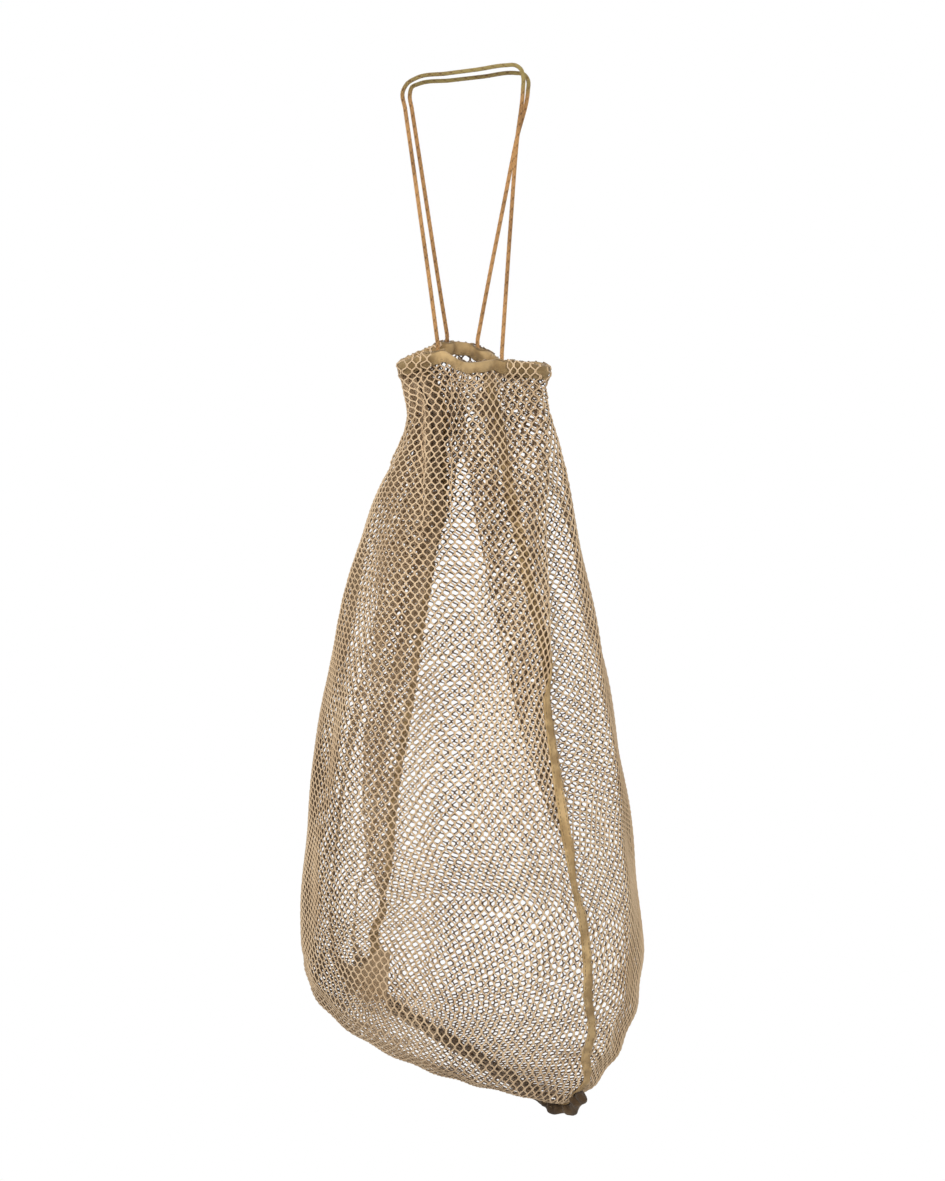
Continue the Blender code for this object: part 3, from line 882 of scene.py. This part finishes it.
class Finish:
    """A material with its one shader."""

    def __init__(self, name, roughness, sheen):
        self.material = bpy.data.materials.new(name)
        self.material.use_nodes = True
        self.tree = self.material.node_tree
        self.shader = self.tree.nodes["Principled BSDF"]
        self.set(Roughness=roughness, Sheen_Weight=sheen, Specular_IOR_Level=SHINE)

    def node(self, kind, settings=None, sockets=None, out=0):
        plain = {key: getattr(value, "socket", value) for key, value in (sockets or {}).items()}
        return Wire(self, new_node(self.tree, kind, settings, plain).outputs[out])

    def set(self, **inputs):
        for name, value in inputs.items():
            socket = self.shader.inputs[name.replace("_", " ")]
            if isinstance(value, Wire):
                self.tree.links.new(value.socket, socket)
            else:
                socket.default_value = value

    def label(self, name, out="Fac"):
        return self.node("ShaderNodeAttribute", {"attribute_name": name}, None, out)

    def place(self):
        return self.node("ShaderNodeTexCoord", None, None, "Object")

    def coordinate(self, axis):
        return self.node("ShaderNodeSeparateXYZ", None, {0: self.place()}, axis)

    def noise(self, scale, detail=2.0):
        sockets = {"Vector": self.place(), "Scale": scale, "Detail": detail}
        return self.node("ShaderNodeTexNoise", None, sockets)

    def sine(self, value):
        return self.node("ShaderNodeMath", {"operation": "SINE"}, {0: value})

    def smooth(self, value, low, high):
        settings = {"interpolation_type": "SMOOTHSTEP"}
        sockets = {"Value": value, "From Min": low, "From Max": high}
        return self.node("ShaderNodeMapRange", settings, sockets)

    def mix(self, share, first, second):
        first, second = [(*c, 1) if isinstance(c, tuple) else c for c in (first, second)]
        return self.node("ShaderNodeMix", {"data_type": "RGBA"}, {0: share, 6: first, 7: second}, 2)

    def darkened(self, share, colour, most):
        """A colour that goes towards black, by most of the way where the share is 1."""
        return self.mix(share, colour, self.mix(most, colour, BLACK))

    def bump(self, height, strength):
        sockets = {"Height": height, "Strength": strength, "Distance": RELIEF}
        return self.node("ShaderNodeBump", None, sockets)


def net_finish():
    """Knitted yarn with painted shade on its side that faces into the bag, lifted by painted light at the
    bag's left.
    """
    finish = Finish("net_yarn", roughness=0.85, sheen=0.15)
    normal = finish.node("ShaderNodeNewGeometry", None, None, "Normal")
    sockets = {0: normal, 1: finish.label("outward", "Vector")}
    facing = finish.node("ShaderNodeVectorMath", {"operation": "DOT_PRODUCT"}, sockets, "Value")
    outer = finish.smooth(facing, low=-0.45, high=0.55)
    twist = finish.sine(finish.label("along") * (TURN / YARN_TWIST) + facing * YARN_TWIST_LEAN)
    tone = finish.smooth(finish.noise(scale=22.0) + YARN_TONE * finish.label("tone"), low=0.35, high=0.85)
    face = finish.mix(tone, NET_FACE, NET_FACE_PALE)
    across = finish.coordinate("X")
    # Painted light: a band at the left where the inner side is drawn paler, as if light fell in there
    left_light = finish.smooth(across, *LEFT_LIGHT_FROM) * finish.smooth(across, *LEFT_LIGHT_TO)
    # Painted shade: the side of each yarn that faces into the bag takes the much darker colours
    shaded_inner = finish.mix(tone, NET_INNER_SHADE, NET_INNER_SHADE_PALE)
    shaded_inner = finish.mix(LEFT_PAINTED_LIGHT * left_light, shaded_inner, face)
    cloth = finish.mix(outer, shaded_inner, face)
    # Painted shade: each yarn is drawn up to 12 % darker in the grooves of its twist, where its bump also
    # sinks
    finish.set(Base_Color=finish.darkened(0.5 - 0.5 * twist, cloth, most=0.12))
    finish.set(Normal=finish.bump(twist, strength=0.4))
    return finish.material


def tape_finish(name, dark, pale, crease_shade):
    """Close plain weave seen on the tape's own length and width, with painted shade in random patches as
    for creases, and where the piece's shade label asks for it.
    """
    finish = Finish(name, roughness=0.85, sheen=0.12)
    warp = finish.sine(finish.label("across") * (TURN / TAPE_WARP))
    weft = finish.sine(finish.label("along") * (TURN / TAPE_WEFT))
    weave = warp * weft
    tone = finish.smooth(finish.noise(scale=90.0, detail=4.0), low=0.36, high=0.64)
    flatness = finish.smooth(finish.noise(scale=16.0, detail=3.0), low=0.35, high=0.75)
    # The random tone is the tape's own; the weave's share is painted shade, lighter on raised crossings
    # and darker between them, following its bump
    cloth = finish.mix(0.75 * tone + 0.15 * weave, dark, pale)
    # Painted shade: the tape darkens in random patches, standing in for shade in its creases, and by the
    # piece's painted shade label
    darker_share = crease_shade * (1 - flatness) + finish.label("shade")
    finish.set(Base_Color=finish.darkened(darker_share, cloth, most=0.55))
    finish.set(Normal=finish.bump(weave, strength=0.5))
    return finish.material


def cord_finish():
    """Braided strands with fine fibres and darker carriers, the core drawn dark as painted shade between
    them, and darker and more olive towards the crown of the loops.
    """
    finish = Finish("braided_cord", roughness=0.75, sheen=0.15)
    fibre = finish.sine(finish.label("along") * (TURN / CORD_FIBRE))
    tone = finish.smooth(finish.noise(scale=35.0) + CORD_TONE * finish.label("tone"), low=0.40, high=1.05)
    # Towards the crown of the loops the strands turn darker and more olive
    darker_share = finish.smooth(finish.coordinate("Z"), *CORD_CROWN_HEIGHTS)
    pale = finish.mix(darker_share, CORD_PALE, CORD_CROWN)
    finish.set(Base_Color=finish.mix(tone, CORD_DARK_AND_GAP_SHADE, pale))
    finish.set(Normal=finish.bump(fibre, strength=0.35))
    return finish.material


def thread_finish():
    finish = Finish("sewing_thread", roughness=0.7, sheen=0.1)
    tone = finish.smooth(finish.noise(scale=40.0), low=0.35, high=0.7)
    finish.set(Base_Color=finish.mix(tone, THREAD_DARK, THREAD_PALE))
    return finish.material


NET = net_finish()
TAPE = tape_finish("woven_tape", TAPE_DARK, TAPE_PALE, TAPE_CREASE_SHADE)
HEM = tape_finish("bottom_binding", HEM_DARK, HEM_PALE, HEM_CREASE_SHADE)
CORD = cord_finish()
THREAD = thread_finish()

# Camera


def facing(direction):
    """Rotation of a camera or lamp that looks along a direction."""
    return direction.to_track_quat("-Z", "Y").to_euler()


camera = add("camera", bpy.data.cameras.new("camera"))
camera.data.lens = CAMERA_LENS
away = Vector((0, -np.cos(CAMERA_ELEVATION), np.sin(CAMERA_ELEVATION)))
camera.location = CAMERA_TARGET + CAMERA_DISTANCE * away
camera.rotation_euler = facing(-away)
scene.camera = camera

# Rim of the casing, measured from the right seam through the front

rim, rim_along, rim_left_seam = base_ring(-1.0)
rim_out = outward(rim, -1.0)
rim_out[0] = rim_out[-1] = unit(rim_out[0] + rim_out[-1])


def on_rim(at):
    """Points and outward directions at distances along the rim."""
    at = np.atleast_1d(at) % rim_along[-1]
    return at_lengths(rim_along, rim, at), unit(at_lengths(rim_along, rim_out, at))


def exit_at(name):
    """Distance along the rim of the cord's way out."""
    side = -1 if name.startswith("front") else 1
    return rim_along[np.argmin(np.abs(rim[:, 0] - EXIT_X[name]) + (rim[:, 1] * side < 0))]


def slit_middle(name):
    """Distance along the rim of a slit's middle, a little towards the wing from the cord's way out."""
    step = 1 if name in ("front_left", "back_right") else -1
    return exit_at(name) + step * SLIT_SHIFT


# Drawcord


def frames(points):
    """Two directions square to a line that turn with it and don't twist."""
    along = unit(np.gradient(points, axis=0))
    side = unit(np.cross(along[0], BRAID_START))
    sides = [side]
    for direction in along[1:]:
        side = side - direction * (side @ direction)
        side = side / np.linalg.norm(side)
        sides.append(side)
    sides = np.array(sides)
    return sides, np.cross(along, sides)


def braid(points):
    """Chains of the carriers of both hands and the core of a braided cord along a line."""
    along = lengths(points)
    count = int(along[-1] / BRAID_PITCH * BRAID_STEPS)
    where = np.linspace(0, along[-1], count)
    line = at_lengths(along, points, where)
    first, second = frames(line)
    turn = TURN * where / BRAID_PITCH
    chains = []
    for hand, tones in BRAID_TONES.items():
        for carrier, tone in enumerate(tones):
            angle = hand * turn + TURN * carrier / len(tones)
            out = np.cos(angle)[:, None] * first + np.sin(angle)[:, None] * second
            radius = BRAID_RADIUS + hand * BRAID_SWING * np.cos(len(tones) * turn)
            chains.append({
                "points": line + radius[:, None] * out, "thick": np.full(count, BRAID_STRAND),
                "along": where, "tone": np.full(count, tone),
            })
    # The core's tone of nought draws it in the darkest cord colour, painted shade for the gaps between the
    # carriers
    chains.append({
        "points": line, "thick": np.full(count, BRAID_CORE),
        "along": where, "tone": np.zeros(count),
    })
    return chains


def smooth_route(route):
    route = np.array(route)
    along = lengths(route)
    fine = np.linspace(0, along[-1], int(along[-1] / CORD_STEP))
    return np.column_stack([cubic(along, route[:, k], fine) for k in range(3)])


def drawcord_loop(side, route):
    """One loop of the drawcord, from slit to slit over its crown."""
    ends, _ = on_rim([exit_at(f"{side}_left"), exit_at(f"{side}_right")])
    left, right = ends + PIVOT_RISE * UP
    line = smooth_route((left, *route, right))
    loop = strands(f"{side}_drawcord", braid(line), LOOP_SIDES, CORD)
    settle(loop, f"{side}_loop", f"{side}_loop")
    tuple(left)
    lengths(line)[-1]


def hidden_cord(side, first, last):
    """The drawcord's run through a wing of the casing, which bends up to the slits at both ends."""
    start, stop = exit_at(first), exit_at(last)
    stop = stop if stop > start else stop + rim_along[-1]
    bend_in = HIDDEN_BEND * (1 - np.cos(np.linspace(0, np.pi / 2, BEND_STEPS)))[:-1]
    straight = np.linspace(start + HIDDEN_BEND, stop - HIDDEN_BEND, HIDDEN_STEPS)
    along = np.concatenate([start + bend_in, straight, stop - bend_in[::-1]])
    inside = np.clip(np.minimum(along - start, stop - along), 0, HIDDEN_BEND)
    place, _ = on_rim(along)
    place[:, 2] += HIDDEN_BEND - CORD_DEPTH - np.sqrt(HIDDEN_BEND**2 - (HIDDEN_BEND - inside) ** 2)
    ends, _ = on_rim([start, stop])
    ends = ends + PIVOT_RISE * UP
    line = np.vstack([ends[:1], place, ends[1:]])
    cord = strands(f"{side}_hidden_cord", braid(line), HIDDEN_SIDES, CORD)
    settle(cord, "bag", f"{side}_cord_run")


drawcord_loop("front", FRONT_ROUTE)
drawcord_loop("back", BACK_ROUTE)
hidden_cord("left", "front_left", "back_left")
hidden_cord("right", "back_right", "front_right")

# Net

net_paths = [panel_paths(depth) for depth in NET_DEPTHS]


def is_tucked(panel, places, layers):
    """Whether a yarn ends under the casing, as at the centre of the front and in the inner layers."""
    row = np.searchsorted(NET_DEPTHS, TUCK_DEPTH)
    centre = panel == "front" and FRONT_CENTRE[0] < places[row, 0] < FRONT_CENTRE[1]
    return centre or layers[row] < -TUCKED_LAYER


def lay_yarn(panel, yarn, every, rows, leaning):
    """Points and outward directions of a yarn that runs down the bag and leans to both sides in turn."""
    ends = (every[:, None] + np.array((-LEG_SHARE, LEG_SHARE))).ravel()
    right = np.repeat((every + yarn) % 2 > 0, 2)
    sides = []
    for side, (places, outs, layers) in enumerate(leaning):
        depth = np.interp(ends, rows[:, yarn + side], NET_DEPTHS)
        place = at_lengths(NET_DEPTHS, places[:, yarn], depth)
        out = unit(at_lengths(NET_DEPTHS, outs[:, yarn], depth))
        layer = np.interp(depth, NET_DEPTHS, layers[:, yarn])
        sides.append((place, out, depth[:, None], layer[:, None]))
    place, out, depth, layer = [np.where(right[:, None], *pair) for pair in zip(*sides[::-1])]
    tucked = is_tucked(panel, leaning[0][0][:, yarn], leaning[0][2][:, yarn])
    rising = np.interp(-depth * RIM_LIFT, CASING_LIFTS, CASING_BULGE) * (layer > -TUCKED_LAYER)
    if tucked:
        rising = rising * (depth > TUCKED_BULGE_DEPTH)
    rising = rising + np.where(right, YARN_WEAVE, -YARN_WEAVE)[:, None]
    first = np.searchsorted(depth[:, 0], TUCK_DEPTH if tucked else -1, side="right") - 1
    kept = slice(max(first, 0), np.searchsorted(depth[:, 0], 2) + 1)
    return (place + rising * out)[kept], out[kept]


def lay_net(panel):
    """Chains of all yarns of a panel, in rows that keep the cells as even as they can be."""
    count = YARNS[panel]
    paths = [both[panel] for both in net_paths]
    width = np.array([lengths(path.points)[-1] / count for path in paths])
    rise = np.sqrt(np.clip(STRAND**2 - width**2, LEAST_RISE**2, None))
    lines = np.array([on_panel(path, yarn_shares(path, np.arange(count + 1)))[0] for path in paths])
    rows = row_numbers(lines, rise)
    every = np.arange(np.floor(rows.min()) - 1, np.ceil(rows.max()) + 2)
    leaning = []
    for lean in (-0.5, 0.5):
        spots = np.arange(count) + 0.5 + lean * ZIGZAG
        found = [on_panel(path, yarn_shares(path, spots)) for path in paths]
        leaning.append([np.array(part) for part in zip(*found)])
    chains = []
    for yarn in range(count):
        line, out = lay_yarn(panel, yarn, every, rows, leaning)
        chains.append({
            "points": line, "outward": out, "along": lengths(line),
            "thick": np.full(len(line), YARN_RADIUS), "tone": np.full(len(line), rng.random()),
        })
    return chains


def net_panel(panel, parts):
    """A panel of net, in two pieces with half of its yarns each."""
    chains = lay_net(panel)
    half = YARNS[panel] // 2
    for part, group in zip(parts, (chains[:half], chains[half:])):
        piece = strands(f"{panel}_{part}_net", group, YARN_SIDES, NET)
        settle(piece, "bag", f"{panel}_net_panel")


net_panel("front", ("right", "left"))
net_panel("back", ("left", "right"))

# Side seam tapes

tape_paths = [panel_paths(depth) for depth in TAPE_DEPTHS]


def seam_points(side, across):
    """Points and outward directions along a side seam at distances to its sides."""
    before, after = ("back", "front") if side == "right" else ("front", "back")
    growth = ease((TAPE_DEPTHS - TAPE_SWAY_START) / TAPE_SWAY_GROWTH)
    sway = TAPE_SWAY * np.sin(TAPE_SWAY_TURN * TAPE_DEPTHS) * growth
    places, outs = [], []
    for paths, shift in zip(tape_paths, sway):
        width = {panel: lengths(paths[panel].points)[-1] for panel in paths}
        spots = across + shift
        under = on_panel(paths[before], 1 + np.minimum(spots, 0) / width[before])
        beyond = on_panel(paths[after], np.maximum(spots, 0) / width[after])
        past = (spots > 0)[:, None]
        places.append(np.where(past, beyond[0], under[0]))
        outs.append(np.where(past, beyond[1], under[1]))
    return np.array(places), np.array(outs)


def seam_tape(side):
    """The tape over a side seam, which sways and rucks a little."""
    across = np.linspace(-TAPE_WIDTH / 2, TAPE_WIDTH / 2, TAPE_COLUMNS)
    places, outs = seam_points(side, across)
    along = lengths(places[:, TAPE_COLUMNS // 2])[:, None]
    ruck = TAPE_RUCK * np.sin(along * TURN / TAPE_RUCK_LENGTH + across * TAPE_RUCK_LEAN)
    top = places + (TAPE_RISE + ruck)[:, :, None] * outs
    rings = np.concatenate([top, (top - TAPE_THICK * outs)[:, ::-1]], axis=1)
    both = np.concatenate([across, across[::-1]])
    settle(band(f"{side}_tape", rings, along, both, TAPE), "bag", f"{side}_seam_tape")


def seam_stitches(side):
    """A row of stitches along each edge of a side seam's tape."""
    lines, outs = seam_points(side, np.array((-1, 1)) * TAPE_STITCH_SHARE * TAPE_WIDTH)
    lines = lines + (TAPE_RISE + TAPE_STITCH_RISE) * outs
    spots, ways, faces = [], [], []
    for line, out in zip(lines.swapaxes(0, 1), outs.swapaxes(0, 1)):
        along = lengths(line)
        at = np.arange(STITCH_STEP, along[-1], STITCH_STEP)
        for found, values in ((spots, line), (ways, np.gradient(line, axis=0)), (faces, out)):
            found.append(at_lengths(along, values, at))
    sewing = stitches(f"{side}_tape_stitches", *[np.vstack(rows) for rows in (spots, ways, faces)])
    settle(sewing, "bag", f"{side}_seam_stitch")


for side in ("right", "left"):
    seam_tape(side)
    seam_stitches(side)

# Casing


def casing_size(side, place):
    """Shares of the full width and height of the casing, which lies flat where no cord runs in it."""
    x, y, _ = place.T
    first, last = EXIT_X[f"{side}_left"], EXIT_X[f"{side}_right"]
    empty = ease((x - first) / EMPTY_FADE) * ease((last - x) / EMPTY_FADE)
    empty *= (y < 0) if side == "front" else (y > 0)
    width = 1 + (EMPTY_WIDTH - 1) * empty
    height = WING_HEIGHT + (EMPTY_HEIGHT[side] - WING_HEIGHT) * empty
    return width[:, None], height[:, None]


def casing_tape(side, start, stop):
    """The tape folded over the rim, open at the slits, with painted shade where net lies over it."""
    at = np.linspace(start, stop, CASING_COLUMNS)
    place, out = on_rim(at)
    width, height = casing_size(side, place)
    across, down = CASING.T
    wide = across * width
    high = down * height
    low = down / -CASING_HEIGHT
    upper = down > CASING_UPPER
    top = np.clip(1 - np.abs(across) / CASING_TOP_HALF, 0, 1) * upper
    wide += np.sign(across) * CASING_RIPPLE * ripple(at, CASING_RIPPLES)[:, None] * low
    high += CASING_EDGE * ripple(at, CASING_EDGES)[:, None] * low**2
    for name in (f"{side}_left", f"{side}_right"):
        window = np.exp(-(((at - slit_middle(name)) / SLIT_HALF) ** SLIT_SQUARENESS))[:, None]
        high -= SLIT_DEPTH * window * top
        wide *= 1 + SLIT_BULGE * window * upper
    rings = place[:, None] + wide[:, :, None] * out[:, None]
    rings[:, :, 2] += high
    # Painted shade on the outer side of the wings, for the shadow of the net that lies over them
    wing = ease((np.abs(place[:, 0] - MIDDLE_X) - WING_SHADE_START) / WING_SHADE_GROWTH)
    shade = WING_SHADE * wing[:, None] * (across > CASING_INNER)
    tape = band(f"{side}_casing_tape", rings, at[:, None], lengths(CASING), TAPE, shade)
    settle(tape, "bag", f"{side}_casing")


def casing_stitches(side, start, stop):
    """Two rows of stitches along the casing's lower edge, on its outer and its inner side."""
    place, out = on_rim(np.arange(start + STITCH_STEP, stop - STITCH_STEP / 2, STITCH_STEP))
    width, height = casing_size(side, place)
    rows, faces = [], []
    for sign in (1, -1):
        for drop in CASING_STITCH_DROPS:
            rows.append(place + sign * CASING_STITCH_OUT * width * out - drop * height * UP)
            faces.append(sign * out)
    ways = np.tile(np.cross(out, UP), (len(rows), 1))
    sewing = stitches(f"{side}_casing_stitches", np.vstack(rows), ways, np.vstack(faces))
    settle(sewing, "bag", f"{side}_casing_stitch")


def buttonhole(name):
    """Close stitches round a slit, each across its edge."""
    turn = np.linspace(0, TURN, BUTTONHOLE_STITCHES, endpoint=False)
    place, out = on_rim(slit_middle(name) + BUTTONHOLE_HALF_LENGTH * np.cos(turn))
    lean = np.sin(turn)[:, None]
    spots = place + BUTTONHOLE_HALF_WIDTH * lean * out
    spots[:, 2] += BUTTONHOLE_RISE - BUTTONHOLE_SAG * lean[:, 0] ** 2
    along = np.cross(out, UP) * np.cos(turn)[:, None]
    ways = unit(out * lean - along - BUTTONHOLE_LEAN * lean**2 * UP)
    sewing = stitches(
        f"{name}_buttonhole_stitches", spots, ways, np.tile(UP, (len(turn), 1)),
        BUTTONHOLE_STITCH_LENGTH, BUTTONHOLE_STITCH_RADIUS,
    )
    settle(sewing, "bag", f"{name}_buttonhole")


for side, start, stop in (("front", 0.0, rim_left_seam), ("back", rim_left_seam, rim_along[-1])):
    casing_tape(side, start, stop)
    casing_stitches(side, start, stop)
for name in EXIT_X:
    buttonhole(name)

# Bottom seam


def bottom_binding():
    """Binding over the bottom seam and up the right corner, crumpled to an ear there, and its stitches."""
    hem_turn = np.linspace(BOTTOM_ANGLE + np.pi, BOTTOM_ANGLE, HEM_POINTS)
    hem_line = bottom_ring(1.0, hem_turn, 0)
    corner = [panel_paths(depth)["front"].points[0] for depth in HEM_CORNER_DEPTHS]
    whole_line = np.vstack([hem_line, corner])
    whole_along = lengths(whole_line)
    at = np.linspace(0, whole_along[-1], BINDING_RINGS)
    place = at_lengths(whole_along, whole_line, at)
    crumple = HEM_CRUMPLE + EAR_CRUMPLE * ease((at / at[-1] - EAR_START) / EAR_GROWTH)
    ruck = BINDING_RUCK * crumple * ripple(at, BINDING_RUCKS)
    sway = BINDING_SWAY * crumple * ripple(at, BINDING_SWAYS)
    lift = BINDING_LIFT * crumple * ripple(at, BINDING_LIFTS)
    across, down = BINDING.T
    wide = across * (1 + ruck[:, None]) + sway[:, None]
    high = down + lift[:, None]
    run = unit(np.gradient(smoothed(place, BINDING_SMOOTHING), axis=0))
    rise = np.cross(run, BOTTOM_SIDE)
    rings = place[:, None] + wide[:, :, None] * BOTTOM_SIDE + high[:, :, None] * rise[:, None]
    binding = band("bottom_binding", rings, at[:, None], lengths(BINDING), HEM)
    settle(binding, "bag", "bottom_seam_tape")

    hem_along = lengths(hem_line)
    sewn = np.arange(STITCH_STEP, hem_along[-1], STITCH_STEP)
    place = at_lengths(hem_along, hem_line, sewn) - HEM_STITCH_DROP * UP
    lean = np.interp(sewn, at, sway)
    stand = HEM_STITCH_OUT * (1 + np.interp(sewn, at, ruck))
    rows = [place + (lean + sign * stand)[:, None] * BOTTOM_SIDE for sign in (1, -1)]
    ways = np.tile(BOTTOM_RUN, (2 * len(sewn), 1))
    faces = np.repeat([BOTTOM_SIDE, -BOTTOM_SIDE], len(sewn), axis=0)
    sewing = stitches("bottom_stitches", np.vstack(rows), ways, faces)
    settle(sewing, "bag", "bottom_seam_stitch")


bottom_binding()

# Stage and light

bpy.ops.mesh.primitive_cylinder_add(
    vertices=FLOOR_SIDES, radius=FLOOR_RADIUS, depth=FLOOR_THICK, location=(0, 0, FLOOR_HEIGHT),
)
floor = bpy.context.object
floor.name = "floor"
ground = Finish("pale_floor", roughness=0.9, sheen=0.0)
ground.set(Base_Color=FLOOR_COLOUR)
floor.data.materials.append(ground.material)

world = bpy.data.worlds.new("soft_white")
scene.world = world
world.use_nodes = True
sky = world.node_tree
rays = new_node(sky, "ShaderNodeLightPath").outputs
direct = rays["Is Camera Ray"]
for kind in ("Is Glossy Ray", "Is Transmission Ray"):
    either = new_node(sky, "ShaderNodeMath", {"operation": "MAXIMUM"}, {0: direct, 1: rays[kind]})
    direct = either.outputs[0]
strength = new_node(sky, "ShaderNodeMix", {"data_type": "FLOAT"}, {0: direct, 2: WORLD_LIGHT, 3: 1.0})
backdrop = sky.nodes["Background"]
backdrop.inputs["Color"].default_value = WHITE
sky.links.new(strength.outputs[0], backdrop.inputs["Strength"])

for name, place, size, watts in LAMPS:
    lamp = add(name, bpy.data.lights.new(name, "AREA"))
    lamp.data.size = size
    lamp.data.energy = watts
    lamp.location = place
    lamp.rotation_euler = facing(CAMERA_TARGET - Vector(place))

scene.view_settings.view_transform = "Standard"
